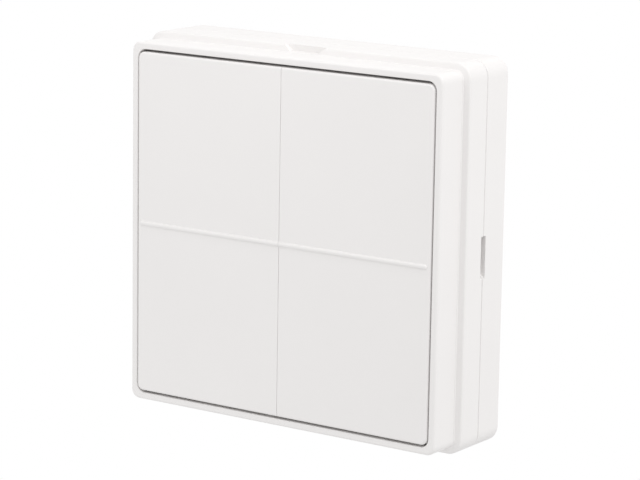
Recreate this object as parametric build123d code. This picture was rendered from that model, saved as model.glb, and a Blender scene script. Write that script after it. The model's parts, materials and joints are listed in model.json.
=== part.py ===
# Wireless wall switch with two rockers, in millimetres.
# X runs to the right, Y runs into the wall and Z runs up.
# The origin is the centre of the face that meets the wall, so the front of the switch is at negative Y.
import os
from math import atan2, degrees, radians, sin, tan

from build123d import *

# Outline
frame_side = 80.0
frame_corner = 2.0
step_out = 1.5

# Depths, counted from the wall to the front
base_depth = 8.25
seam_gap = 0.15
housing_depth = 7.45
frame_joint = 0.04
frame_depth = 7.5

# Front frame
rim_width = 1.55
opening_corner = 2.0
rim_outer_round = 0.5
rim_inner_round = 0.25
tongue_width = 8.0
tongue_thickness = 0.9
tongue_length = 3.0
tongue_clearance = 0.2
tongue_nib = 0.15
tongue_nib_radius = 0.4
tongue_spacing = 38.0

# Housing
housing_wall = 1.8
cavity_corner = 2.0
shoulder_lip = 0.1
shoulder_slope = 0.5
shoulder_inner_round = 0.25
shoulder_outer_round = 0.5
seam_round = 0.25
deck_recess = 1.7
deck_thickness = 1.6
notch_width = 7.2
notch_ramp = 1.7
notch_depth = 1.35
notch_run = 1.8

# Rockers
rocker_gap = 0.55
rocker_side_gap = 0.3
centre_gap = 0.06
rocker_proud = 0.3
rocker_depth = 5.5
rocker_skin = 2.0
rocker_skirt = 1.4
rocker_edge_round = 0.5
rocker_centre_round = 0.1
rib_width = 1.1
rib_height = 0.35
rib_outer_margin = 0.6
rocker_tilt = 1.6

# Rocker pivots and stops
trunnion_radius = 1.4
trunnion_clearance = 0.05
ear_thickness = 2.0
ear_clearance = 0.6
ear_inset = 7.0
bracket_thickness = 2.0
bracket_wall = 1.35
bracket_side_gap = 0.3
bracket_mouth = 2.3
stop_gap = 0.1
stop_width = 4.0
stop_thickness = 1.2
stop_spacing = 20.0

# Push switches under the rocker ends
press_lever = 26.0
press_gap = 0.05
post_radius = 1.5
case_side = 7.0
case_wall = 0.8
case_top = 0.8
case_floor = 0.6
case_corner = 0.5
case_window_gap = 0.4
plunger_radius = 1.7
plunger_clearance = 0.08
plunger_flange_gap = 0.2
plunger_flange_thickness = 0.8
plunger_spare = 1.0
plunger_headroom = 0.2
plunger_guide_radius = 1.1
plunger_guide_gap = 0.3
spring_length = 2.85
spring_radius = 1.75
spring_wire = 0.3
spring_turns = 4
spring_seat_gap = 0.02
pin_radius = 0.35
pin_hole_clearance = 0.1
pin_tail = 0.8
pin_inset = 1.1

# Circuit board and its screws
board_width = 66.0
board_height = 70.0
board_corner = 2.0
board_standoff = 2.4
board_thickness = 1.6
boss_radius = 2.6
boss_inset = 3.5
screw_shank_radius = 1.0
screw_length = 4.5
screw_head_radius = 1.9
screw_head_height = 1.3
screw_head_round = 0.4
screw_cross_width = 0.5
screw_cross_length = 2.2
screw_cross_depth = 0.7
screw_clearance = 0.05
board_hole_clearance = 0.2
pilot_spare = 0.2

# Battery, its holder and contacts
cell_radius = 10.0
cell_height = 3.2
cell_cap_height = 0.4
cell_cap_inset = 1.1
cell_round = 0.25
cell_side_gap = 0.15
cell_proud = 0.1
cell_z = -4.0
holder_width = 25.0
holder_height = 27.0
holder_corner = 1.5
holder_floor = 1.0
holder_pocket = 3.5
finger_width = 9.0
finger_depth = 2.6
contact_gap = 0.05
contact_side_gap = 0.15
clip_width = 6.0
clip_thickness = 0.3
clip_reach = 4.0
clip_foot = 2.5
clip_bend = 0.5
leaf_width = 4.0
leaf_thickness = 0.25
leaf_reach = 4.0
leaf_foot = 2.0
leaf_bend = 0.4
leaf_side_gap = 0.3
dimple_radius = 1.2

# Radio parts on the back of the board
shield_width = 16.0
shield_height = 12.0
shield_depth = 2.6
shield_sheet = 0.3
shield_corner = 0.6
shield_z = 19.5
radio_chip_side = 5.0
radio_chip_height = 0.9
antenna_inset = 5.0
antenna_z = -16.0
antenna_turns = 10
antenna_pitch = 1.6
antenna_radius = 2.3
antenna_wire = 0.7
antenna_gap = 0.6

# Control parts on the back of the board
antenna_to_chip = 7.5
chip_z = 9.0
chip_side = 7.0
chip_height = 1.0
chip_gap = 0.1
lead_count = 7
lead_pitch = 0.8
lead_width = 0.35
lead_reach = 0.9
lead_thickness = 0.2
lead_rise = 0.6
crystal_width = 3.2
crystal_height = 2.5
crystal_depth = 0.8
crystal_z = 1.0
small_part_width = 0.8
small_part_height = 1.6
small_part_depth = 0.6
small_part_pitch = 2.4
small_part_count = 4
small_part_rows = (16.5, -2.6)
reservoir_radius = 2.5
reservoir_depth = 4.2
reservoir_base = 5.3
reservoir_base_depth = 1.0
reservoir_z = -9.0

# Pairing button and status lamp on the back of the board
pairing_x = 22.0
pairing_z = 6.0
pairing_case_side = 6.0
pairing_case_depth = 3.4
pairing_case_cover = 0.6
pairing_button_radius = 1.75
pairing_button_reach = 1.4
pairing_button_round = 0.3
pairing_travel = 0.3
pairing_clearance = 0.08
pairing_flange_step = 0.5
pairing_flange_thickness = 0.5
pairing_spare = 0.1
lamp_width = 1.6
lamp_height = 3.2
lamp_depth = 0.8
lamp_dome_radius = 0.7
lamp_z = 14.0

# Wall base
base_floor = 1.8
back_round = 0.6
lip_thickness = 1.0
lip_height = 2.2
lip_clearance = 0.2
latch_spacing = 44.0
latch_width = 10.0
latch_relief = 1.0
latch_nib = 0.15
latch_nib_radius = 0.4
latch_nib_drop = 0.8
latch_groove = 0.3
latch_groove_height = 1.4
latch_groove_play = 0.5
pry_height = 9.2
pry_depth = 0.7
pry_lead = 0.9
pry_ramp = 1.8
screw_hole_spacing = 60.0
screw_hole_radius = 2.1
screw_hole_length = 8.0
hole_rim_width = 1.6
hole_rim_height = 0.8
pad_side = 16.0
pad_thickness = 1.0
pad_spacing = 54.0
pad_edge_gap = 0.1

# How far a cut runs past the surface it opens, and how close counts as the same plane
cut_spare = 1.0
same_plane = 0.001

# Planes along Y, worked out from the depths
base_front = -base_depth
housing_rear = base_front - seam_gap
housing_front = housing_rear - housing_depth
frame_rear = housing_front - frame_joint
rim_front = frame_rear - frame_depth
deck_front = housing_front + deck_recess
deck_rear = deck_front + deck_thickness
board_front = deck_rear + board_standoff
board_rear = board_front + board_thickness
rocker_front = rim_front - rocker_proud
rocker_inside = rocker_front + rocker_skin
rocker_rear = rocker_front + rocker_depth
pivot_y = rocker_rear
floor_front = -base_floor
lip_front = base_front - lip_height
latch_y = lip_front + latch_nib_drop

# Widths, worked out from the outline
housing_side = frame_side + 2 * step_out
housing_corner = frame_corner + step_out
opening_side = frame_side - 2 * rim_width
cavity_side = housing_side - 2 * housing_wall
lip_side = cavity_side - 2 * lip_clearance
lip_corner = cavity_corner - lip_clearance
tray_side = lip_side - 2 * lip_thickness
tray_corner = lip_corner - lip_thickness
rocker_half_height = opening_side / 2 - rocker_gap
rocker_outer_x = opening_side / 2 - rocker_side_gap
rocker_inner_x = centre_gap / 2
rocker_width = rocker_outer_x - rocker_inner_x
rocker_centre_x = (rocker_outer_x + rocker_inner_x) / 2

# Press travel and the stack of pieces inside a push switch
press_travel = press_lever * sin(radians(rocker_tilt))
case_depth = (case_top + plunger_headroom + press_travel + plunger_flange_thickness
              + spring_length + case_floor)
case_front = board_front - case_depth
plunger_tip = case_front - press_travel - plunger_spare
flange_front = case_front + case_top + plunger_headroom + press_travel
flange_rear = flange_front + plunger_flange_thickness
spring_rear = board_front - case_floor
case_cavity = case_side - 2 * case_wall

# Battery stack on the back of the board
pocket_floor = board_rear + holder_floor
holder_rear = pocket_floor + holder_pocket
cell_rear = holder_rear + cell_proud
cell_front = cell_rear - cell_height

# Pairing switch, places of the antenna and of the parts beside it
pairing_case_rear = board_rear + pairing_case_depth
pairing_flange_rear = pairing_case_rear - pairing_case_cover - pairing_clearance
pairing_flange_front = pairing_flange_rear - pairing_flange_thickness
pairing_button_rear = pairing_case_rear + pairing_button_reach
antenna_x = antenna_inset - board_width / 2
chip_x = antenna_x + antenna_to_chip

both = (-1, 1)
side_names = {-1: "left", 1: "right"}
end_names = {-1: "lower", 1: "upper"}


def facing(y):
    """Plane at depth y that looks out of the wall, with local x along X and local y along Z."""
    return Plane(origin=(0, y, 0), x_dir=(1, 0, 0), z_dir=(0, -1, 0))


def prism(outline, front, back):
    """Flat outline drawn in X and Z, made solid from front to back."""
    return extrude(facing(back) * outline, back - front, dir=(0, -1, 0))


def slab(side, corner, front, back):
    """Square plate with round corners about the middle of the switch."""
    return prism(RectangleRounded(side, side, corner), front, back)


def block(x_span, y_span, z_span):
    """Box between two values along each axis."""
    size = [high - low for low, high in (x_span, y_span, z_span)]
    middle = [(high + low) / 2 for low, high in (x_span, y_span, z_span)]
    return Pos(*middle) * Box(*size)


def about(centre, width):
    return (centre - width / 2, centre + width / 2)


def rod_x(radius, x_span, y, z):
    low, high = sorted(x_span)
    return Pos((low + high) / 2, y, z) * Rot(0, 90, 0) * Cylinder(radius, high - low)


def rod_y(radius, x, y_span, z):
    low, high = y_span
    return Pos(x, (low + high) / 2, z) * Rot(90, 0, 0) * Cylinder(radius, high - low)


def rod_z(radius, x, y, z_span):
    low, high = sorted(z_span)
    return Pos(x, y, (low + high) / 2) * Cylinder(radius, high - low)


def edges_at(solid, y):
    """Edges that lie wholly in the plane at depth y."""
    return [edge for edge in solid.edges()
            if all(abs(vertex.Y - y) < same_plane for vertex in edge.vertices())
            and abs(edge.center().Y - y) < same_plane]


def flat_face(solid, y):
    """Largest flat face in the plane at depth y."""
    faces = [face for face in solid.faces().filter_by(Axis.Y) if abs(face.center().Y - y) < same_plane]
    return max(faces, key=lambda face: face.area)


def upright_edges(solid):
    """Edges of a small box that run along Y, its standing corners."""
    return solid.edges().filter_by(Axis.Y)


def coil(radius, wire, turns, length):
    """Open coil of round wire, with the wire's centre line from z = 0 to z = length."""
    path = Helix(pitch=length / turns, height=length, radius=radius)
    section = Plane(origin=path @ 0, z_dir=path % 0) * Circle(wire / 2)
    return sweep(section, path=path, is_frenet=True)


def bent_strip(points, bend, width, thickness, width_dir):
    """Sheet metal strip whose middle line follows the points."""
    path = FilletPolyline(*points, radius=bend)
    section = Plane(origin=path @ 0, x_dir=width_dir, z_dir=path % 0) * Rectangle(width, thickness)
    return sweep(section, path=path)


def switch_places():
    """Name and centre of each push switch, one under each end of each rocker."""
    for side in both:
        for end in both:
            name = side_names[side] + "_" + end_names[end]
            yield name, side * rocker_centre_x, end * press_lever


def pin_places():
    reach = case_side / 2 - pin_inset
    for _, x, z in switch_places():
        for side in both:
            for end in both:
                yield x + side * reach, z + end * reach


def boss_places():
    for side in both:
        for end in both:
            yield side * (board_width / 2 - boss_inset), end * (board_height / 2 - boss_inset)


def pad_places():
    for side in both:
        for end in both:
            yield side * pad_spacing / 2, end * pad_spacing / 2


def tongue_places():
    """Turn about Y and sideways shift of each frame tongue, drawn at the top of the frame."""
    for shift in about(0, tongue_spacing):
        yield 0, shift
        yield 180, shift
    yield 90, 0
    yield 270, 0


def bearing_places(side):
    """For the two ears of a rocker, which way the trunnion points and the middle of the ear."""
    for outward in both:
        edge = rocker_outer_x if outward == side else rocker_inner_x
        yield outward, side * edge - outward * ear_inset


def screw_slot_outlines(margin):
    """The four slots for wall screws, two across and two upright, widened by a margin."""
    slot = SlotOverall(screw_hole_length + 2 * margin, 2 * (screw_hole_radius + margin))
    for place in about(0, screw_hole_spacing):
        yield Pos(place, 0) * slot
        yield Pos(0, place) * Rot(0, 0, 90) * slot


def make_wall_base():
    body = slab(housing_side, housing_corner, base_front, 0)
    body = fillet(edges_at(body, base_front), seam_round)
    body = fillet(edges_at(body, 0), back_round)
    body += slab(lip_side, lip_corner, lip_front, base_front)
    body -= slab(tray_side, tray_corner, lip_front, floor_front)
    for end in both:
        for place in about(0, latch_spacing):
            body += latch_nib_rod(place, end)
            for edge in about(place, latch_width + latch_relief):
                body -= block(about(edge, latch_relief), (lip_front, base_front), lip_wall_span(end))
    body -= pry_slot(base_front, base_front + pry_depth)
    for outline in screw_slot_outlines(hole_rim_width):
        body += prism(outline, floor_front - hole_rim_height, floor_front)
    for outline in screw_slot_outlines(0):
        body -= prism(outline, floor_front - hole_rim_height, 0)
    for x, z in pad_places():
        body -= block(about(x, pad_side), (-pad_thickness, 0), about(z, pad_side))
    return body


def pry_slot(front, back):
    """Slot in the right wall for a screwdriver, with a slope at the bottom of its mouth."""
    inside = tray_side / 2 - cut_spare
    outside = housing_side / 2 + cut_spare
    slope_start = housing_side / 2 - pry_ramp
    top = pry_height / 2
    floor = pry_ramp - top
    outline = Polygon((inside, top), (inside, floor), (slope_start, floor),
                      (outside, -top - cut_spare), (outside, top), align=None)
    return prism(outline, front, back)


def lip_wall_span(end):
    """Span in Z that holds the upper or lower wall of the lip with some air on each side."""
    return sorted((end * (tray_side / 2 - cut_spare), end * (lip_side / 2 + cut_spare)))


def latch_nib_rod(x, end):
    z = end * (lip_side / 2 + latch_nib - latch_nib_radius)
    return rod_x(latch_nib_radius, about(x, latch_width), latch_y, z)


def make_adhesive_pads():
    side = pad_side - 2 * pad_edge_gap
    return [block(about(x, side), (-pad_thickness, 0), about(z, side)) for x, z in pad_places()]


def make_housing():
    body = shoulder_shell()
    body -= slab(opening_side, opening_corner, housing_front, deck_front)
    body -= slab(cavity_side, cavity_corner, deck_rear, housing_rear)
    for _, x, z in switch_places():
        window = case_side + 2 * case_window_gap
        body -= block(about(x, window), (deck_front, deck_rear), about(z, window))
    for turn, shift in tongue_places():
        body -= Rot(0, turn, 0) * tongue_block(shift, tongue_clearance, housing_front, deck_rear)
    for side in both:
        for outward, ear_x in bearing_places(side):
            body += bracket(outward, ear_x)
        for end in both:
            for x in about(side * rocker_centre_x, stop_spacing):
                body += stop_block(x, end)
    pilot_front = board_rear - screw_length - pilot_spare
    for x, z in boss_places():
        body += rod_y(boss_radius, x, (deck_rear, board_front), z)
        body -= rod_y(screw_shank_radius + screw_clearance, x, (pilot_front, board_front), z)
    for end in both:
        wall = sorted((end * (cavity_side / 2 - cut_spare), end * (cavity_side / 2 + latch_groove)))
        for place in about(0, latch_spacing):
            groove = about(place, latch_width + 2 * latch_groove_play)
            body -= block(groove, about(latch_y, latch_groove_height), wall)
    body -= pry_slot(housing_rear - pry_lead, housing_rear)
    return body - finger_notch()


def shoulder_shell():
    """Solid outside shape of the housing, with a short slope from the frame's outline to its own."""
    steepness = atan2(step_out, shoulder_slope)
    slope_front = housing_front + shoulder_lip + shoulder_inner_round * tan(steepness / 2)
    slope_rear = slope_front + shoulder_slope
    body = slab(housing_side, housing_corner, slope_rear, housing_rear)
    body = fillet(edges_at(body, housing_rear), seam_round)
    outline = RectangleRounded(housing_side, housing_side, housing_corner)
    body += extrude(facing(slope_rear) * outline, shoulder_slope, taper=degrees(steepness))
    body += slab(frame_side, frame_corner, housing_front, slope_front)
    body = fillet(edges_at(body, slope_rear), shoulder_outer_round)
    return fillet(edges_at(body, slope_front), shoulder_inner_round)


def finger_notch():
    """Notch in the step at the top, with sloping ends that carry on past the surface."""
    rise = notch_depth + cut_spare
    floor_z = housing_side / 2 - notch_depth
    top_z = floor_z + rise
    half = notch_width / 2
    flare = half + notch_ramp * rise / notch_depth
    outline = Polygon((-half, floor_z), (half, floor_z), (flare, top_z), (-flare, top_z), align=None)
    return prism(outline, housing_front, housing_front + notch_run)


def tongue_block(shift, margin, front, back):
    """Frame tongue at the top of the frame, or with a margin the slot that it goes into."""
    z_low = opening_side / 2 - margin
    z_high = opening_side / 2 + tongue_thickness + margin
    return block(about(shift, tongue_width + 2 * margin), (front, back), (z_low, z_high))


def bracket(outward, ear_x):
    """Upright bracket with an open socket that a trunnion snaps into."""
    middle = ear_x + outward * (ear_thickness / 2 + bracket_side_gap + bracket_thickness / 2)
    span = about(middle, bracket_thickness)
    bore = trunnion_radius + trunnion_clearance
    radius = bore + bracket_wall
    body = block(span, (pivot_y, deck_front), about(0, 2 * radius))
    body += rod_x(radius, span, pivot_y, 0)
    body -= rod_x(bore, span, pivot_y, 0)
    return body - block(span, (pivot_y - radius, pivot_y), about(0, bracket_mouth))


def stop_block(x, end):
    """Block on the deck that stops the edge of a tilted rocker."""
    top = pivot_y + rocker_half_height * sin(radians(rocker_tilt)) + stop_gap
    middle = end * (rocker_half_height - rocker_skirt / 2)
    return block(about(x, stop_width), (top, deck_front), about(middle, stop_thickness))


def make_front_frame():
    body = slab(frame_side, frame_corner, rim_front, frame_rear)
    body = fillet(edges_at(body, rim_front), rim_outer_round)
    body -= slab(opening_side, opening_corner, rim_front, frame_rear)
    body = fillet(flat_face(body, rim_front).inner_wires()[0].edges(), rim_inner_round)
    for turn, shift in tongue_places():
        tongue = tongue_block(shift, 0, frame_rear, frame_rear + tongue_length)
        nib_y = frame_rear + tongue_length - 2 * tongue_nib_radius
        nib_z = opening_side / 2 + tongue_thickness + tongue_nib - tongue_nib_radius
        tongue += rod_x(tongue_nib_radius, about(shift, tongue_width), nib_y, nib_z)
        body += Rot(0, turn, 0) * tongue
    return body


def make_rocker(side):
    middle = side * rocker_centre_x
    outline = Pos(middle, 0) * Rectangle(rocker_width, 2 * rocker_half_height)
    outer = outline.vertices().group_by(Axis.X)[-1 if side > 0 else 0]
    outline = fillet(outer, opening_corner - rocker_gap)
    body = prism(outline, rocker_front, rocker_rear)
    centre_edge = side * rocker_inner_x
    outside = [edge for edge in edges_at(body, rocker_front)
               if abs(edge.center().X - centre_edge) > same_plane]
    body = fillet(outside, rocker_edge_round)
    centre = [edge for edge in edges_at(body, rocker_front)
              if abs(edge.center().X - centre_edge) < same_plane]
    body = fillet(centre, rocker_centre_round)
    hollow_x = about(middle, rocker_width - 2 * rocker_skirt)
    hollow_z = about(0, 2 * (rocker_half_height - rocker_skirt))
    body -= block(hollow_x, (rocker_inside, rocker_rear), hollow_z)
    for outward, ear_x in bearing_places(side):
        body += rocker_ear(outward, ear_x)
    for end in both:
        body += press_post(middle, end * press_lever)
    return body + tactile_rib(side)


def rocker_ear(outward, ear_x):
    """Ear under the rocker with its round trunnion."""
    radius = deck_front - pivot_y - ear_clearance
    span = about(ear_x, ear_thickness)
    root = rocker_inside - rocker_skin / 2
    trunnion_end = ear_x + outward * (ear_thickness / 2 + 2 * bracket_side_gap + bracket_thickness)
    body = block(span, (root, pivot_y), about(0, 2 * radius))
    body += rod_x(radius, span, pivot_y, 0)
    return body + rod_x(trunnion_radius, (ear_x, trunnion_end), pivot_y, 0)


def press_post(x, z):
    """Round-ended post that rests on a switch plunger."""
    root = rocker_inside - rocker_skin / 2
    ball_y = plunger_tip - press_gap - post_radius
    return rod_y(post_radius, x, (root, ball_y), z) + Pos(x, ball_y, z) * Sphere(post_radius)


def tactile_rib(side):
    """Low rounded rib across the rocker's face, cut flush with its centre edge."""
    radius = (rib_width ** 2 / 4 + rib_height ** 2) / (2 * rib_height)
    y = rocker_front - rib_height + radius
    outer_end = side * (rocker_outer_x - rib_outer_margin - radius)
    body = rod_x(radius, (side * rocker_inner_x, outer_end), y, 0)
    return body + Pos(outer_end, y, 0) * Sphere(radius)


def make_switch_case(x, z):
    body = block(about(x, case_side), (case_front, board_front), about(z, case_side))
    body = fillet(upright_edges(body), case_corner)
    body -= block(about(x, case_cavity), (case_front + case_top, spring_rear), about(z, case_cavity))
    return body - rod_y(plunger_radius + plunger_clearance, x, (case_front, case_front + case_top), z)


def make_plunger(x, z):
    flange = case_cavity - 2 * plunger_flange_gap
    guide_end = spring_rear - press_travel - plunger_guide_gap
    body = rod_y(plunger_radius, x, (plunger_tip, flange_front), z)
    body += block(about(x, flange), (flange_front, flange_rear), about(z, flange))
    return body + rod_y(plunger_guide_radius, x, (flange_rear, guide_end), z)


def make_spring(x, z):
    length = spring_length - spring_wire - 2 * spring_seat_gap
    front = flange_rear + spring_seat_gap + spring_wire / 2
    return Pos(x, front, z) * Rot(-90, 0, 0) * coil(spring_radius, spring_wire, spring_turns, length)


def make_switch_pins():
    return [rod_y(pin_radius, x, (board_front, board_rear + pin_tail), z) for x, z in pin_places()]


def make_circuit_board():
    body = prism(RectangleRounded(board_width, board_height, board_corner), board_front, board_rear)
    for x, z in pin_places():
        body -= rod_y(pin_radius + pin_hole_clearance, x, (board_front, board_rear), z)
    for x, z in boss_places():
        body -= rod_y(screw_shank_radius + board_hole_clearance, x, (board_front, board_rear), z)
    return body


def make_board_screw(x, z):
    head_rear = board_rear + screw_head_height
    head = rod_y(screw_head_radius, x, (board_rear, head_rear), z)
    head = fillet(edges_at(head, head_rear), screw_head_round)
    cross = (head_rear - screw_cross_depth, head_rear)
    head -= block(about(x, screw_cross_width), cross, about(z, screw_cross_length))
    head -= block(about(x, screw_cross_length), cross, about(z, screw_cross_width))
    return head + rod_y(screw_shank_radius, x, (board_rear - screw_length, board_rear), z)


def make_battery_holder():
    body = prism(Pos(0, cell_z) * RectangleRounded(holder_width, holder_height, holder_corner),
                 board_rear, holder_rear)
    body -= rod_y(cell_radius + cell_side_gap, 0, (pocket_floor, holder_rear), cell_z)
    finger = (holder_rear - finger_depth, holder_rear)
    body -= block((-holder_width / 2, 0), finger, about(cell_z, finger_width))
    channel = leaf_width + 2 * leaf_side_gap
    channel_rear = pocket_floor + leaf_thickness + leaf_side_gap
    body -= block(about(0, channel), (pocket_floor, channel_rear), (cell_z - holder_height / 2, cell_z))
    return body


def make_coin_cell():
    can_front = cell_front + cell_cap_height
    can = rod_y(cell_radius, 0, (can_front, cell_rear), cell_z)
    can = fillet(edges_at(can, cell_rear), cell_round)
    return can + rod_y(cell_radius - cell_cap_inset, 0, (cell_front, can_front), cell_z)


def make_battery_clip():
    """Positive contact: up the side of the holder and over the back of the cell."""
    side_x = holder_width / 2 + contact_side_gap + clip_thickness / 2
    foot_y = board_rear + clip_thickness / 2
    top_y = cell_rear + contact_gap + clip_thickness / 2
    points = [(side_x + clip_foot, foot_y, cell_z), (side_x, foot_y, cell_z),
              (side_x, top_y, cell_z), (cell_radius - clip_reach, top_y, cell_z)]
    return bent_strip(points, clip_bend, clip_width, clip_thickness, (0, 0, 1))


def make_battery_leaf():
    """Negative contact: along the pocket's floor, out under the holder's wall and down to the board."""
    inside_y = pocket_floor + leaf_thickness / 2
    outside_z = cell_z - holder_height / 2 - contact_side_gap - leaf_thickness / 2
    foot_y = board_rear + leaf_thickness / 2
    points = [(0, inside_y, cell_z + leaf_reach), (0, inside_y, outside_z),
              (0, foot_y, outside_z), (0, foot_y, outside_z - leaf_foot)]
    strip = bent_strip(points, leaf_bend, leaf_width, leaf_thickness, (1, 0, 0))
    dimple = rod_y(dimple_radius, 0, (inside_y, cell_front - contact_gap), cell_z)
    return strip + dimple


def make_radio_shield():
    outer = block(about(0, shield_width), (board_rear, board_rear + shield_depth),
                  about(shield_z, shield_height))
    outer = fillet(upright_edges(outer), shield_corner)
    inner_x = about(0, shield_width - 2 * shield_sheet)
    inner_z = about(shield_z, shield_height - 2 * shield_sheet)
    return outer - block(inner_x, (board_rear, board_rear + shield_depth - shield_sheet), inner_z)


def make_radio_chip():
    return block(about(0, radio_chip_side), (board_rear, board_rear + radio_chip_height),
                 about(shield_z, radio_chip_side))


def make_antenna():
    """Wire coil beside the board's edge, on two legs."""
    length = antenna_turns * antenna_pitch
    low = antenna_z - length / 2
    near_y = board_rear + antenna_gap + antenna_wire / 2
    turns = coil(antenna_radius, antenna_wire, antenna_turns, length)
    body = Pos(antenna_x, near_y + antenna_radius, low) * Rot(0, 0, -90) * turns
    for z in (low, low + length):
        body += rod_y(antenna_wire / 2, antenna_x, (board_rear, near_y), z)
    return body


def make_control_chip():
    front = board_rear + chip_gap
    return block(about(chip_x, chip_side), (front, front + chip_height), about(chip_z, chip_side))


def make_chip_leads():
    """Bent leads on the four sides of the control chip."""
    leads = []
    centre = Pos(chip_x, 0, chip_z)
    edge = chip_side / 2
    for quarter in range(4):
        for index in range(lead_count):
            place = about((index - (lead_count - 1) / 2) * lead_pitch, lead_width)
            foot = block((edge, edge + lead_reach), (board_rear, board_rear + lead_thickness), place)
            riser = block((edge, edge + lead_thickness), (board_rear, board_rear + lead_rise), place)
            leads.append(centre * Rot(0, 90 * quarter, 0) * (foot + riser))
    return leads


def make_crystal():
    body = block(about(chip_x, crystal_width), (board_rear, board_rear + crystal_depth),
                 about(crystal_z, crystal_height))
    return fillet(upright_edges(body), crystal_depth / 2)


def make_small_parts():
    parts = []
    for z in small_part_rows:
        for index in range(small_part_count):
            x = chip_x + (index - (small_part_count - 1) / 2) * small_part_pitch
            parts.append(block(about(x, small_part_width), (board_rear, board_rear + small_part_depth),
                               about(z, small_part_height)))
    return parts


def make_reservoir():
    foot = board_rear + reservoir_base_depth
    body = block(about(chip_x, reservoir_base), (board_rear, foot), about(reservoir_z, reservoir_base))
    return body + rod_y(reservoir_radius, chip_x, (foot, foot + reservoir_depth), reservoir_z)


def make_pairing_case():
    cavity_front = pairing_flange_front - pairing_travel - pairing_spare
    cavity_rear = pairing_case_rear - pairing_case_cover
    cavity_radius = pairing_button_radius + pairing_flange_step + pairing_clearance
    body = block(about(pairing_x, pairing_case_side), (board_rear, pairing_case_rear),
                 about(pairing_z, pairing_case_side))
    body = fillet(upright_edges(body), case_corner)
    body -= rod_y(cavity_radius, pairing_x, (cavity_front, cavity_rear), pairing_z)
    hole = pairing_button_radius + pairing_clearance
    return body - rod_y(hole, pairing_x, (cavity_front, pairing_case_rear), pairing_z)


def make_pairing_button():
    body = rod_y(pairing_button_radius, pairing_x, (pairing_flange_front, pairing_button_rear), pairing_z)
    body = fillet(edges_at(body, pairing_button_rear), pairing_button_round)
    flange_radius = pairing_button_radius + pairing_flange_step
    return body + rod_y(flange_radius, pairing_x, (pairing_flange_front, pairing_flange_rear), pairing_z)


def make_status_lamp():
    top = board_rear + lamp_depth
    body = block(about(pairing_x, lamp_width), (board_rear, top), about(lamp_z, lamp_height))
    dome = Pos(pairing_x, top, lamp_z) * Sphere(lamp_dome_radius)
    return body + (dome & rod_y(lamp_dome_radius, pairing_x, (top, top + lamp_dome_radius), lamp_z))


def save(name, shape):
    """Write one sub-part, a single piece or a list of separate ones."""
    if isinstance(shape, list):
        shape = Compound(children=[solid for piece in shape for solid in piece.solids()])
    export_step(shape, os.path.join("parts", name + ".step"))


def main():
    os.makedirs("parts", exist_ok=True)
    save("wall_base", make_wall_base())
    save("adhesive_pads", make_adhesive_pads())
    save("housing", make_housing())
    save("front_frame", make_front_frame())
    for side in both:
        save("rocker_" + side_names[side], make_rocker(side))
    for name, x, z in switch_places():
        save("switch_case_" + name, make_switch_case(x, z))
        save("switch_plunger_" + name, make_plunger(x, z))
        save("switch_spring_" + name, make_spring(x, z))
    save("switch_pins", make_switch_pins())
    save("circuit_board", make_circuit_board())
    save("board_screws", [make_board_screw(x, z) for x, z in boss_places()])
    save("battery_holder", make_battery_holder())
    save("coin_cell", make_coin_cell())
    save("battery_clip_positive", make_battery_clip())
    save("battery_leaf_negative", make_battery_leaf())
    save("radio_shield", make_radio_shield())
    save("radio_chip", make_radio_chip())
    save("helical_antenna", make_antenna())
    save("control_chip", make_control_chip())
    save("chip_leads", make_chip_leads())
    save("quartz_crystal", make_crystal())
    save("small_components", make_small_parts())
    save("reservoir_capacitor", make_reservoir())
    save("pairing_switch_case", make_pairing_case())
    save("pairing_button", make_pairing_button())
    save("status_lamp", make_status_lamp())


main()
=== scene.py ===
# Looks of the wireless wall switch, in metres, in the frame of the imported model.
# X runs to the right, Y runs into the wall and Z runs up.
import json
from itertools import product
from math import cos, pi, radians, sin

import bmesh
import bpy
from mathutils import Matrix, Vector


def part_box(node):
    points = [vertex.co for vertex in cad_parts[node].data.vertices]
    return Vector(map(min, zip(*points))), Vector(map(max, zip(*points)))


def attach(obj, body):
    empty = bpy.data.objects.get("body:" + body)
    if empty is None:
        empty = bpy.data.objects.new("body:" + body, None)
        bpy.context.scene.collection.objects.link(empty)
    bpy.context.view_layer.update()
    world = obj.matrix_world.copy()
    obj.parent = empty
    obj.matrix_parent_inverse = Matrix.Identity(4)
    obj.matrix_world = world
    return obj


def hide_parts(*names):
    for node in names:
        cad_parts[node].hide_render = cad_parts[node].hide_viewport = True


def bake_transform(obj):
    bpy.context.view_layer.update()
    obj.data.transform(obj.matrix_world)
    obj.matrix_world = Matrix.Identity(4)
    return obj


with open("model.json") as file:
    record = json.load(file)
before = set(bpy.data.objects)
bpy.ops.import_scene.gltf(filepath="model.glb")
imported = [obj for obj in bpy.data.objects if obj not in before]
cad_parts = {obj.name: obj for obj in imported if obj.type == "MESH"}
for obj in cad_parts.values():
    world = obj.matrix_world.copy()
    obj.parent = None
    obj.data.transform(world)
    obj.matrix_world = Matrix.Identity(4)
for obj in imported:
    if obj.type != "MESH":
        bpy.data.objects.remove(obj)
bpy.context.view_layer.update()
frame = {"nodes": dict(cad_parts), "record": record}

nodes = frame["nodes"]
slot_of = {part["node"]: part["material_slot"] for part in frame["record"]["subparts"]}
mm = 0.001
both = (-1, 1)


def corners(node):
    """Lowest and highest corner of a node, in millimetres to three places."""
    return [[round(value / mm, 3) for value in corner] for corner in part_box(node)]


def middle(node):
    """Middle of a node across the wall plane: its X and Z, in millimetres."""
    low, high = corners(node)
    return (low[0] + high[0]) / 2, (low[2] + high[2]) / 2


# Camera, in degrees and metres: where it stands round the switch and the point it looks at
camera_azimuth = 34.54
camera_elevation = 11.47
camera_roll = 0.94
camera_distance = 0.6000
camera_aim = (0.00699, -0.01838, 0.00099)
camera_lens_mm = 158.7
sensor_width_mm = 36.0

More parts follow.
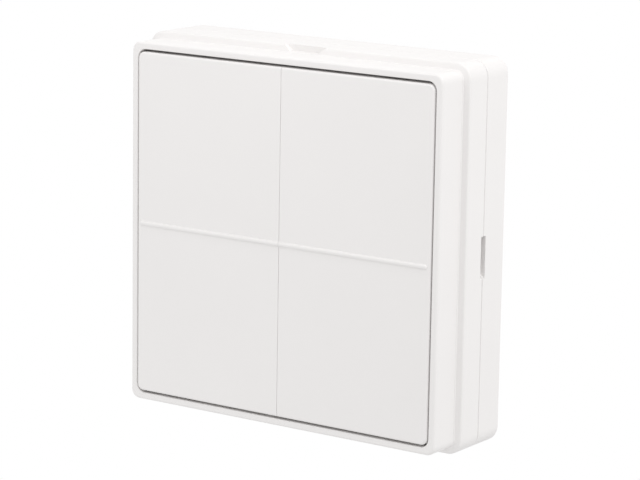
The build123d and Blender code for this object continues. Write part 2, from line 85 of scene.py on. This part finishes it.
# Light: strength of the white surroundings, then place, target, size and watts of each lamp
ambient = 0.765
lamps = {
    "front_lamp": ((-0.18, -0.26, -0.15), (0, -0.02, 0), 0.25, 0.105),
    "top_lamp": ((-0.02, -0.10, 0.16), (0, -0.02, 0.02), 0.10, 0.055),
    "side_lamp": ((0.45, -0.05, 0.36), (0.02, -0.01, 0.01), 0.5, 1.2),
}

# Floor: its drop below the switch and its radius in metres, and how much of it is glow
floor_drop = 0.45
floor_radius = 0.9
floor_sides = 64
floor_colour = (0.9, 0.9, 0.9, 1)
floor_glow = 0.85

# Colours
shell_white = (0.865, 0.847, 0.838)
foam_grey = (0.42, 0.43, 0.44)
mask_green = (0.018, 0.155, 0.062)
track_green = (0.045, 0.27, 0.10)
laminate_tan = (0.50, 0.46, 0.24)
nylon_black = (0.025, 0.025, 0.028)
epoxy_black = (0.018, 0.018, 0.02)
acetal_red = (0.62, 0.055, 0.03)
ceramic_tan = (0.44, 0.31, 0.19)
resistor_black = (0.02, 0.02, 0.022)
lens_milk = (0.80, 0.82, 0.76)
die_yellow = (0.75, 0.58, 0.10)
steel_grey = (0.56, 0.56, 0.57)
zinc_grey = (0.62, 0.64, 0.67)
nickel_grey = (0.66, 0.64, 0.61)
tin_grey = (0.70, 0.70, 0.69)
bronze_gold = (0.72, 0.56, 0.33)
copper_gold = (0.80, 0.47, 0.25)
aluminium_grey = (0.77, 0.78, 0.79)

# Places on the back of the circuit board, along X and Z in millimetres, read from the model
board_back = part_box("circuit_board")[1].y
chip_x, chip_z = middle("control_chip")
cell_x, cell_z = middle("coin_cell")
switch_x, switch_z = middle("switch_case_right_upper")
antenna_x, antenna_z = middle("helical_antenna")
crystal_x, crystal_z = middle("quartz_crystal")
reservoir_x, reservoir_z = middle("reservoir_capacitor")
pairing_x, pairing_z = middle("pairing_switch_case")
lamp_x, lamp_z = middle("status_lamp")
can_right = corners("radio_shield")[1][0]
clip_right = corners("battery_clip_positive")[1][0]
leaf_low = corners("battery_leaf_negative")[0][2]

# Small components beside the chip, in millimetres
small_width = 0.8
small_length = 1.6
small_depth = 0.6
small_pitch = 2.4
small_x = [chip_x + step * small_pitch for step in (-1.5, -0.5, 0.5, 1.5)]
resistor_z = corners("small_components")[1][2] - small_length / 2
capacitor_z = corners("small_components")[0][2] + small_length / 2

# Leads of the chip, then pins and legs in millimetres from the middle of their part
lead_count = 7
lead_pitch = 0.8
pin_reach = 2.4
leg_reach = 8.0

# Columns and rows of the switch pins that tracks run to, to a tenth of a millimetre
inner_pin, outer_pin = [round(switch_x + side * pin_reach, 1) for side in both]
near_pin, far_pin = [round(switch_z + side * pin_reach, 1) for side in both]

# Copper tracks, in millimetres: their section, how far from the middle of a part they end, and
# how far they run in under the edge of the radio can and of the battery clip
track_width = 0.3
track_height = 0.04
chip_meet = 4.2
small_meet = 0.7
crystal_meet = 1.0
reservoir_meet = 2.4
button_meet = 2.6
under_can = 0.4
under_clip = 0.5

# Flat pads, in millimetres: thickness and rounding, then width and height of each kind
pad_height = 0.05
pad_round = 0.02
chip_pad = (1.3, 0.46)
small_pad = (1.0, 0.7)
crystal_pad = (1.4, 2.8)
reservoir_pad = (1.6, 1.8)
lamp_pad = (1.9, 1.0)
button_pad = (1.3, 1.1)
clip_pad = (2.6, 7.0)
leaf_pad = (5.0, 2.6)

# How far the middle of a pad lies from the middle of its part, in millimetres, and how far it
# lies inside the outer edge of a battery contact
chip_pad_reach = 4.0
small_pad_reach = 0.75
crystal_pad_reach = 1.2
reservoir_pad_reach = 2.5
lamp_pad_reach = 1.5
button_pad_reach = (2.3, 3.1)
clip_pad_inset = 0.7
leaf_pad_inset = 0.575

# Solder joint, in millimetres: pairs of radius and height, up from its round pad
joint_profile = (
    (0.33, 0), (0.95, 0), (0.95, 0.04), (0.72, 0.10), (0.54, 0.24), (0.44, 0.42), (0.33, 0.62),
)
joint_steps = 32

# Tinned ends of the small components, in millimetres
terminal_wrap = 0.03
terminal_length = 0.35

# Share of a face's direction along Y above which it counts as the board's face or a can's end
flat_facing = 0.5
end_facing = 0.9

# Marks on the chip, the capacitor and the lamp, in millimetres
dimple_inset = 1.0
dimple_radius = 0.4
dimple_soft = 0.04
dimple_depth = 0.06
can_foot = 1.05
can_mark = 1.3
die_bright = 0.2
die_faint = 0.55

# Sockets of the Mix node that take and give colours
MIX_FIRST, MIX_SECOND, MIX_RESULT = 6, 7, 2


def add_camera():
    az, el = radians(camera_azimuth), radians(camera_elevation)
    back = Vector((sin(az) * cos(el), -cos(az) * cos(el), sin(el)))
    level_right = Vector((cos(az), sin(az), 0))
    level_up = back.cross(level_right)
    roll = radians(camera_roll)
    right = level_right * cos(roll) + level_up * sin(roll)
    up = back.cross(right)
    data = bpy.data.cameras.new("camera")
    data.sensor_width = sensor_width_mm
    data.lens = camera_lens_mm
    data.clip_start = 0.01
    camera = bpy.data.objects.new("camera", data)
    bpy.context.scene.collection.objects.link(camera)
    camera.matrix_world = Matrix((
        (right.x, up.x, back.x, 0),
        (right.y, up.y, back.y, 0),
        (right.z, up.z, back.z, 0),
        (0, 0, 0, 1),
    ))
    camera.location = Vector(camera_aim) + back * camera_distance
    bpy.context.scene.camera = camera


def add_area_lamp(name, place, target, size, power):
    data = bpy.data.lights.new(name, "AREA")
    data.shape = "SQUARE"
    data.size = size
    data.energy = power
    lamp = bpy.data.objects.new(name, data)
    bpy.context.scene.collection.objects.link(lamp)
    lamp.location = place
    lamp.rotation_euler = (Vector(target) - Vector(place)).to_track_quat("-Z", "Y").to_euler()


def seen_directly(tree):
    """1 for camera, mirror and see-through rays, and 0 for the rays that carry light."""
    path = tree.nodes.new("ShaderNodeLightPath")
    value = path.outputs["Is Camera Ray"]
    for name in ("Is Glossy Ray", "Is Transmission Ray"):
        either = tree.nodes.new("ShaderNodeMath")
        either.operation = "MAXIMUM"
        tree.links.new(value, either.inputs[0])
        tree.links.new(path.outputs[name], either.inputs[1])
        value = either.outputs[0]
    return value


def set_world():
    """Even white surroundings, dimmer as a light than they look."""
    world = bpy.data.worlds.new("studio")
    bpy.context.scene.world = world
    world.use_nodes = True
    tree = world.node_tree
    background = tree.nodes["Background"]
    background.inputs["Color"].default_value = (1, 1, 1, 1)
    level = tree.nodes.new("ShaderNodeMapRange")
    level.inputs["To Min"].default_value = ambient
    level.inputs["To Max"].default_value = 1
    tree.links.new(seen_directly(tree), level.inputs["Value"])
    tree.links.new(level.outputs["Result"], background.inputs["Strength"])


def add_floor():
    """Pale floor far below, which looks nearly white but keeps the switch's shadow."""
    mesh = bpy.data.meshes.new("floor")
    turns = [2 * pi * side / floor_sides for side in range(floor_sides)]
    rim = [(floor_radius * cos(turn), floor_radius * sin(turn), -floor_drop) for turn in turns]
    mesh.from_pydata(rim, [], [range(floor_sides)])
    floor = bpy.data.objects.new("floor", mesh)
    bpy.context.scene.collection.objects.link(floor)
    material = bpy.data.materials.new("floor_white")
    material.use_nodes = True
    tree = material.node_tree
    matt = tree.nodes.new("ShaderNodeBsdfDiffuse")
    matt.inputs["Color"].default_value = floor_colour
    glow = tree.nodes.new("ShaderNodeEmission")
    share = tree.nodes.new("ShaderNodeMath")
    share.operation = "MULTIPLY"
    share.inputs[1].default_value = floor_glow
    tree.links.new(seen_directly(tree), share.inputs[0])
    blend = tree.nodes.new("ShaderNodeMixShader")
    tree.links.new(share.outputs[0], blend.inputs[0])
    tree.links.new(matt.outputs[0], blend.inputs[1])
    tree.links.new(glow.outputs[0], blend.inputs[2])
    tree.links.new(blend.outputs[0], tree.nodes["Material Output"].inputs["Surface"])
    mesh.materials.append(material)


def shade(colour, factor):
    return tuple(channel * factor for channel in colour)


class Look:
    """Material whose pattern is fixed to the object, with every size given in metres."""

    def __init__(self, name, metallic=0.0, **constants):
        self.material = bpy.data.materials.new(name)
        self.material.use_nodes = True
        self.tree = self.material.node_tree
        self.shader = self.tree.nodes["Principled BSDF"]
        self.shader.inputs["Metallic"].default_value = metallic
        for socket, value in constants.items():
            self.shader.inputs[socket.replace("_", " ").title()].default_value = value
        coordinates = self.add("TexCoord")
        self.place = coordinates.outputs["Object"]
        self.facing = coordinates.outputs["Normal"]
        self.relief = None

    def add(self, kind, **settings):
        node = self.tree.nodes.new("ShaderNode" + kind)
        for name, value in settings.items():
            setattr(node, name, value)
        return node

    def put(self, socket, value):
        """Fill a socket with the output of another node, or with a plain value."""
        if isinstance(value, bpy.types.NodeSocket):
            self.tree.links.new(value, socket)
        elif socket.type == "RGBA":
            socket.default_value = (*value, 1)
        else:
            socket.default_value = value

    def math(self, operation, *values):
        node = self.add("Math", operation=operation)
        for socket, value in zip(node.inputs, values):
            self.put(socket, value)
        return node.outputs[0]

    def axes(self, vector):
        node = self.add("SeparateXYZ")
        self.put(node.inputs[0], vector)
        return node.outputs

    def distance(self, first, second):
        """Distance across the wall plane from a point given by its X and Z."""
        x, _, z = self.axes(self.place)
        across = self.math("POWER", self.math("SUBTRACT", x, first), 2)
        upright = self.math("POWER", self.math("SUBTRACT", z, second), 2)
        return self.math("SQRT", self.math("ADD", across, upright))

    def noise(self, size, stretch=(1, 1, 1)):
        """Soft random pattern from 0 to 1, in spots of about that size times the stretch."""
        mapping = self.add("Mapping")
        self.put(mapping.inputs["Vector"], self.place)
        mapping.inputs["Scale"].default_value = [1 / (size * factor) for factor in stretch]
        texture = self.add("TexNoise")
        self.put(texture.inputs["Vector"], mapping.outputs[0])
        texture.inputs["Scale"].default_value = 1
        return texture.outputs["Fac"]

    def cells(self, size):
        """Round cells, 0 at the middle of each and larger towards its walls."""
        texture = self.add("TexVoronoi")
        self.put(texture.inputs["Vector"], self.place)
        texture.inputs["Scale"].default_value = 1 / size
        return texture.outputs["Distance"]

    def span(self, value, low, high, start=0.0, end=1.0):
        """Carry start to low and end to high, and hold the value there outside them."""
        node = self.add("MapRange")
        self.put(node.inputs["Value"], value)
        names = ("From Min", "From Max", "To Min", "To Max")
        for name, setting in zip(names, (start, end, low, high)):
            node.inputs[name].default_value = setting
        return node.outputs["Result"]

    def mix(self, share, first, second):
        node = self.add("Mix", data_type="RGBA")
        self.put(node.inputs[0], share)
        self.put(node.inputs[MIX_FIRST], first)
        self.put(node.inputs[MIX_SECOND], second)
        return node.outputs[MIX_RESULT]

    def clouded(self, colour, size, amount):
        """The colour, a little darker and lighter in soft spots."""
        return self.mix(self.noise(size), shade(colour, 1 - amount), shade(colour, 1 + amount))

    def colour(self, value):
        self.put(self.shader.inputs["Base Color"], value)

    def roughness(self, level, swing, size, stretch=(1, 1, 1)):
        value = self.span(self.noise(size, stretch), level - swing, level + swing)
        self.put(self.shader.inputs["Roughness"], value)

    def bump(self, height, depth):
        """Raise the surface by up to depth, on top of any bump already there."""
        node = self.add("Bump")
        node.inputs["Distance"].default_value = depth
        self.put(node.inputs["Height"], height)
        if self.relief:
            self.put(node.inputs["Normal"], self.relief)
        self.relief = node.outputs["Normal"]
        self.put(self.shader.inputs["Normal"], self.relief)


def moulded(name, colour, roughness, grain=0.35 * mm, depth=0.004 * mm, clouds=0.012):
    """Moulded plastic with a fine grain and faint clouds."""
    look = Look(name)
    look.colour(look.clouded(colour, 18 * mm, clouds))
    look.roughness(roughness, 0.04, 4 * mm)
    look.bump(look.noise(grain), depth)
    return look


def metal(name, colour, roughness, streak=(1, 1, 1), depth=0.002 * mm, size=0.12 * mm):
    """Bare or plated metal with fine marks, drawn out along the streak."""
    look = Look(name, metallic=1.0)
    look.colour(look.clouded(colour, 3 * mm, 0.06))
    look.roughness(roughness, 0.07, 1.5 * mm, streak)
    look.bump(look.noise(size, streak), depth)
    return look


def foam():
    look = Look("acrylic_foam")
    look.colour(look.clouded(foam_grey, 1.2 * mm, 0.10))
    look.roughness(0.85, 0.05, 1 * mm)
    look.bump(look.cells(0.45 * mm), 0.05 * mm)
    return look


def laminate(name, face):
    """Printed circuit board: coated faces over a woven core, which shows at the edges."""
    look = Look(name)
    x, _, z = look.axes(look.place)
    thread_width = 0.45 * mm
    thread = pi / thread_width
    across = look.math("SINE", look.math("MULTIPLY", x, thread))
    upright = look.math("SINE", look.math("MULTIPLY", z, thread))
    weave = look.math("MULTIPLY", across, upright)
    flat = look.math("GREATER_THAN", look.math("ABSOLUTE", look.axes(look.facing)[1]), flat_facing)
    coat = look.mix(look.span(weave, 0.0, 1.0, start=-1.0), shade(face, 0.93), shade(face, 1.07))
    fibres = look.noise(0.25 * mm, (8, 1, 8))
    core = look.mix(fibres, shade(laminate_tan, 0.75), shade(laminate_tan, 1.1))
    look.colour(look.mix(flat, core, coat))
    look.roughness(0.34, 0.06, 3 * mm)
    look.bump(weave, 0.002 * mm)
    look.bump(look.noise(0.8 * mm), 0.004 * mm)
    return look


def chip_package():
    """Dark epoxy with a round dimple that marks the first lead."""
    look = moulded("chip_epoxy", epoxy_black, 0.55, grain=0.12 * mm, depth=0.006 * mm, clouds=0.15)
    right, _, top = corners("control_chip")[1]
    dimple = look.distance((right - dimple_inset) * mm, (top - dimple_inset) * mm)
    start, end = [(dimple_radius + side * dimple_soft) * mm for side in both]
    look.bump(look.span(dimple, 0.0, 1.0, start=start, end=end), dimple_depth * mm)
    return look


def coin_steel():
    """Nickel plate turned in rings round the middle of the cell."""
    look = Look("nickel_plate", metallic=1.0)
    ring_pitch = 0.16 * mm
    radius = look.distance(cell_x * mm, cell_z * mm)
    rings = look.math("SINE", look.math("MULTIPLY", radius, 2 * pi / ring_pitch))
    look.colour(look.clouded(nickel_grey, 4 * mm, 0.05))
    look.roughness(0.26, 0.05, 2 * mm)
    look.bump(rings, 0.0006 * mm)
    look.bump(look.noise(0.1 * mm), 0.001 * mm)
    return look


def small_bodies():
    """Black resistors in the upper row and tan capacitors in the lower one."""
    look = Look("ceramic_bodies")
    upper = look.math("GREATER_THAN", look.axes(look.place)[2], chip_z * mm)
    capacitors = look.clouded(ceramic_tan, 0.4 * mm, 0.08)
    resistors = look.clouded(resistor_black, 0.4 * mm, 0.2)
    look.colour(look.mix(upper, capacitors, resistors))
    look.roughness(0.42, 0.06, 0.5 * mm)
    look.bump(look.noise(0.08 * mm), 0.003 * mm)
    return look


def capacitor():
    """Aluminium can with a dark segment for the negative lead, on a black plastic foot."""
    look = Look("capacitor_can")
    x, y, _ = look.axes(look.place)
    foot_top = board_back + can_foot * mm
    foot = look.math("LESS_THAN", y, foot_top)
    end_face = look.math("GREATER_THAN", look.axes(look.facing)[1], end_facing)
    beside = look.math("GREATER_THAN", x, (reservoir_x + can_mark) * mm)
    segment = look.math("MULTIPLY", beside, end_face)
    dark = look.math("MAXIMUM", foot, segment)
    can = look.clouded(aluminium_grey, 1 * mm, 0.04)
    look.colour(look.mix(dark, can, look.clouded(nylon_black, 1 * mm, 0.15)))
    look.put(look.shader.inputs["Metallic"], look.math("SUBTRACT", 1.0, dark))
    look.roughness(0.32, 0.06, 0.8 * mm)
    look.bump(look.noise(0.15 * mm, (1, 12, 1)), 0.002 * mm)
    return look


def milky_lens():
    """Milky resin with the yellow die showing through its dome."""
    look = Look("milky_resin", subsurface_weight=0.15)
    radius = look.distance(lamp_x * mm, lamp_z * mm)
    die = look.span(radius, 1.0, 0.0, start=die_bright * mm, end=die_faint * mm)
    resin = look.clouded(lens_milk, 0.8 * mm, 0.03)
    look.colour(look.mix(die, resin, look.clouded(die_yellow, 0.3 * mm, 0.08)))
    look.roughness(0.22, 0.04, 0.6 * mm)
    look.bump(look.noise(0.2 * mm), 0.002 * mm)
    return look


def white(name, roughness, **texture):
    """White plastic of the outside, coarser on the housing and base than on the front."""
    return moulded(name, shell_white, roughness, **texture)


def black(name, roughness, **texture):
    """Black plastic of the parts on the board."""
    return moulded(name, nylon_black, roughness, clouds=0.15, **texture)


def make_looks():
    """One finish for each material slot of the record."""
    return {
        "rocker_plastic": white("rocker_white", 0.40),
        "frame_plastic": white("frame_white", 0.42),
        "housing_plastic": white("housing_white", 0.50, grain=0.28 * mm, depth=0.007 * mm),
        "base_plastic": white("base_white", 0.52, grain=0.28 * mm, depth=0.008 * mm),
        "pad_foam": foam(),
        "board_laminate": laminate("board_laminate", mask_green),
        "switch_shell": black("black_nylon", 0.48, grain=0.2 * mm, depth=0.008 * mm),
        "plunger_plastic": moulded("red_acetal", acetal_red, 0.33, clouds=0.05),
        "spring_wire": metal("spring_steel", steel_grey, 0.30, streak=(1, 4, 1)),
        "tinned_lead": metal("tinned_copper", tin_grey, 0.30, size=0.15 * mm),
        "screw_steel": metal("zinc_plate", zinc_grey, 0.34, size=0.2 * mm, depth=0.003 * mm),
        "holder_plastic": black("holder_black", 0.45, grain=0.25 * mm, depth=0.01 * mm),
        "cell_steel": coin_steel(),
        "contact_metal": metal("spring_bronze", bronze_gold, 0.28, streak=(10, 10, 1)),
        "shield_sheet": metal("tin_plate", tin_grey, 0.33, streak=(14, 1, 1), depth=0.003 * mm),
        "chip_epoxy": chip_package(),
        "crystal_can": metal("crystal_lid", nickel_grey, 0.28, streak=(8, 1, 1)),
        "small_ceramic": small_bodies(),
        "capacitor_can": capacitor(),
        "antenna_wire": metal("copper_wire", copper_gold, 0.27, streak=(1, 1, 3)),
        "pairing_cap": black("black_cap", 0.38, grain=0.2 * mm, depth=0.005 * mm),
        "lamp_lens": milky_lens(),
    }


def dress_nodes(looks):
    for name, node in nodes.items():
        node.data.materials.clear()
        node.data.materials.append(looks[slot_of[name]].material)


def add_springs():
    """Return springs between the floor of the case and the plunger, copied in place from the model's
    springs.
    """
    for side, end in product(("left", "right"), ("upper", "lower")):
        name = side + "_" + end
        node = nodes["switch_spring_" + name]
        spring = bpy.data.objects.new("return_spring_" + name, node.data.copy())
        bpy.context.scene.collection.objects.link(spring)
        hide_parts(node.name)
        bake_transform(spring)


def add_piece(name, mesh_data, look):
    """Turn a bmesh into a piece of the circuit board's body."""
    mesh = bpy.data.meshes.new(name)
    bmesh.ops.recalc_face_normals(mesh_data, faces=mesh_data.faces)
    mesh_data.to_mesh(mesh)
    mesh_data.free()
    mesh.materials.append(look.material)
    piece = bpy.data.objects.new(name, mesh)
    bpy.context.scene.collection.objects.link(piece)
    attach(piece, "switch_unit")


def on_board(x, z, height):
    """Point on the back of the circuit board, from millimetres."""
    return Vector((x * mm, board_back + height * mm, z * mm))


def chip_tracks():
    """Tracks between the chip, the radio can, the crystal and the two rows of small components.

    In every group of tracks the ends follow the parts, and the bends between them are given one by
    one.
    """
    can_left = under_can - can_right
    chip_top, chip_low = chip_z + chip_meet, chip_z - chip_meet
    bend, rise = chip_x + 5.4, 5.6
    for step in range(4):
        z = chip_z + lead_pitch * step
        yield [(chip_x + chip_meet, z), (bend, z), (bend + rise, z + rise), (can_left, z + rise)]
    for turn, lead, part in ((0.8, 3 * lead_pitch, 1.5 * small_pitch),
                             (1.4, 2 * lead_pitch, 0.5 * small_pitch)):
        for side in both:
            lead_x, part_x = chip_x + side * lead, chip_x + side * part
            yield [(lead_x, chip_top), (lead_x, chip_top + turn),
                   (part_x, chip_top + turn + abs(part - lead)), (part_x, resistor_z - small_meet)]
    for side in both:
        near, lead = [chip_x + side * count * lead_pitch for count in (1, 3)]
        inner, outer = [chip_x + side * step * small_pitch for step in (0.5, 1.5)]
        yield [(near, chip_low), (near, crystal_z + crystal_meet)]
        yield [(lead, chip_low), (lead, 3.9), (outer, 2.7), (outer, capacitor_z + small_meet)]
        yield [(inner, crystal_z - crystal_meet), (inner, capacitor_z + small_meet)]
        yield [(inner, capacitor_z - small_meet), (inner, reservoir_z + reservoir_meet)]


def left_tracks():
    """Tracks from the chip and its small components to the left push switches and the antenna."""
    inner, outer = -inner_pin, -outer_pin
    first, second, _, last = small_x
    row_top, row_low = resistor_z + small_meet, capacitor_z - small_meet
    yield [(second, row_top), (second, 22.5), (outer, 22.7), (outer, near_pin)]
    yield [(last, row_top), (last, 22.5), (inner, 22.7), (inner, near_pin)]
    yield [(first, row_low), (first, -13.0), (outer, -15.6), (outer, -near_pin)]
    yield [(last, row_low), (last, -22.9), (inner, -23.1), (inner, -near_pin)]
    edge = chip_x - chip_meet
    low_lead, high_lead, top_lead = [chip_z + step * lead_pitch for step in (-1, 1, 3)]
    leg_low, leg_top = antenna_z - leg_reach, antenna_z + leg_reach
    yield [(edge, low_lead), (-26.0, low_lead), (antenna_x, 6.2), (antenna_x, leg_top)]
    yield [(edge, high_lead), (-26.8, high_lead), (-31.6, 5.0), (-31.6, -22.4), (-30.0, leg_low),
           (antenna_x, leg_low)]
    yield [(edge, top_lead), (-26.4, top_lead), (-27.6, 12.6), (-27.6, 25.9), (-25.1, far_pin),
           (outer, far_pin)]


def right_tracks():
    """Tracks from the radio can to the right push switches, the pairing button and the lamp."""
    can = can_right - under_can
    button_top, button_low = pairing_z + button_meet, pairing_z - button_meet
    yield [(can, 22.4), (15.5, 22.4), (inner_pin, near_pin)]
    yield [(can, 24.0), (12.3, 24.0), (inner_pin, far_pin)]
    yield [(can, 18.0), (12.2, 18.0), (19.8, 10.4), (19.8, button_top)]
    yield [(can, 19.6), (17.6, 19.6), (21.6, 15.6), (21.6, lamp_z + 1.2)]
    yield [(22.4, lamp_z - 1.3), (22.4, button_top)]
    yield [(24.4, button_top), (24.4, 20.7), (outer_pin, near_pin)]
    yield [(outer_pin, button_low), (outer_pin, -near_pin)]
    yield [(23.7, button_low), (26.4, 0.7), (26.4, -23.5), (outer_pin, -far_pin)]


def battery_tracks():
    """Tracks from the two battery contacts to the lower push switches."""
    yield [(clip_right - under_clip, -4.8), (15.6, -4.8), (inner_pin, -5.9), (inner_pin, -near_pin)]
    for side in both:
        yield [(side * 0.6, -19.4), (side * 0.6, -21.8), (side * 7.2, -far_pin),
               (side * inner_pin, -far_pin)]


def add_track(mesh_data, run):
    """Raised strip along the run, mitred at its bends and square at its ends."""
    points = [Vector(point) for point in run]
    section = ((1, 0), (1, track_height), (-1, track_height), (-1, 0))
    rails = []
    for index, point in enumerate(points):
        steps = [(points[k + 1] - points[k]).normalized() for k in (index - 1, index)
                 if 0 <= k < len(points) - 1]
        along = sum(steps, Vector((0, 0))).normalized()
        reach = track_width / 2 / along.dot(steps[0])
        side = Vector((-along.y, along.x)) * reach
        rails.append([mesh_data.verts.new(on_board(*(point + side * way), height))
                      for way, height in section])
    for first, second in zip(rails, rails[1:]):
        for k in range(len(section)):
            mesh_data.faces.new((first[k], first[k - 1], second[k - 1], second[k]))
    mesh_data.faces.new(rails[0])
    mesh_data.faces.new(reversed(rails[-1]))


def solder_places():
    """Centre of every round joint: the switch pins and the antenna's two legs."""
    for side, end, dx, dz in product(both, repeat=4):
        yield side * switch_x + dx * pin_reach, end * switch_z + dz * pin_reach
    for end in both:
        yield antenna_x, antenna_z + end * leg_reach


def add_joint(mesh_data, x, z):
    """Hollow-sided cone of solder on its round pad."""
    rings = []
    for step in range(joint_steps):
        angle = 2 * pi * step / joint_steps
        places = [(x + radius * cos(angle), z + radius * sin(angle), height)
                  for radius, height in joint_profile]
        rings.append([mesh_data.verts.new(on_board(*place)) for place in places])
    for first, second in zip(rings, rings[1:] + rings[:1]):
        for k in range(len(joint_profile)):
            face = mesh_data.faces.new((first[k - 1], first[k], second[k], second[k - 1]))
            face.smooth = True


def pads():
    """Middle and size, in X and Z, of each flat pad that shows round the foot of a part."""
    width, height = chip_pad
    across, upright = button_pad_reach
    for index in range(lead_count):
        shift = (index - (lead_count - 1) / 2) * lead_pitch
        for side in both:
            yield (chip_x + side * chip_pad_reach, chip_z + shift), (width, height)
            yield (chip_x + shift, chip_z + side * chip_pad_reach), (height, width)
    for z, x, end in product((resistor_z, capacitor_z), small_x, both):
        yield (x, z + end * small_pad_reach), small_pad
    for side in both:
        yield (crystal_x + side * crystal_pad_reach, crystal_z), crystal_pad
        yield (reservoir_x, reservoir_z + side * reservoir_pad_reach), reservoir_pad
        yield (lamp_x, lamp_z + side * lamp_pad_reach), lamp_pad
        for end in both:
            yield (pairing_x + side * across, pairing_z + end * upright), button_pad
    yield (clip_right - clip_pad_inset, cell_z), clip_pad
    yield (cell_x, leaf_low + leaf_pad_inset), leaf_pad


def add_slab(mesh_data, centre, size, height, rounding):
    """Flat block on the board with softened edges."""
    x, z = centre
    box = bmesh.ops.create_cube(mesh_data, size=1)["verts"]
    scale = Matrix.Diagonal((size[0] * mm, height * mm, size[1] * mm, 1))
    place = Matrix.Translation(on_board(x, z, height / 2)) @ scale
    bmesh.ops.transform(mesh_data, matrix=place, verts=box)
    edges = {edge for vertex in box for edge in vertex.link_edges}
    bmesh.ops.bevel(mesh_data, geom=list(edges), offset=rounding * mm, segments=2,
                    affect="EDGES", profile=0.5)


def add_tracks():
    tracks = bmesh.new()
    for runs in (chip_tracks, left_tracks, right_tracks, battery_tracks):
        for run in runs():
            add_track(tracks, run)
    add_piece("copper_tracks", tracks, laminate("masked_copper", track_green))


def add_solder(look):
    joints = bmesh.new()
    for x, z in solder_places():
        add_joint(joints, x, z)
    add_piece("solder_joints", joints, look)
    flat = bmesh.new()
    for centre, size in pads():
        add_slab(flat, centre, size, pad_height, pad_round)
    add_piece("solder_pads", flat, look)


def add_terminals(look):
    """Tinned caps on both ends of every small component."""
    caps = bmesh.new()
    size = (small_width + 2 * terminal_wrap, terminal_length)
    reach = small_length / 2 + terminal_wrap - terminal_length / 2
    for z, x, end in product((resistor_z, capacitor_z), small_x, both):
        add_slab(caps, (x, z + end * reach), size, small_depth + terminal_wrap, terminal_wrap)
    add_piece("chip_terminals", caps, look)


add_camera()
bpy.context.scene.view_settings.view_transform = "Standard"
set_world()
for name, settings in lamps.items():
    add_area_lamp(name, *settings)
add_floor()
looks = make_looks()
dress_nodes(looks)
add_tracks()
add_solder(looks["tinned_lead"])
add_terminals(looks["tinned_lead"])
add_springs()
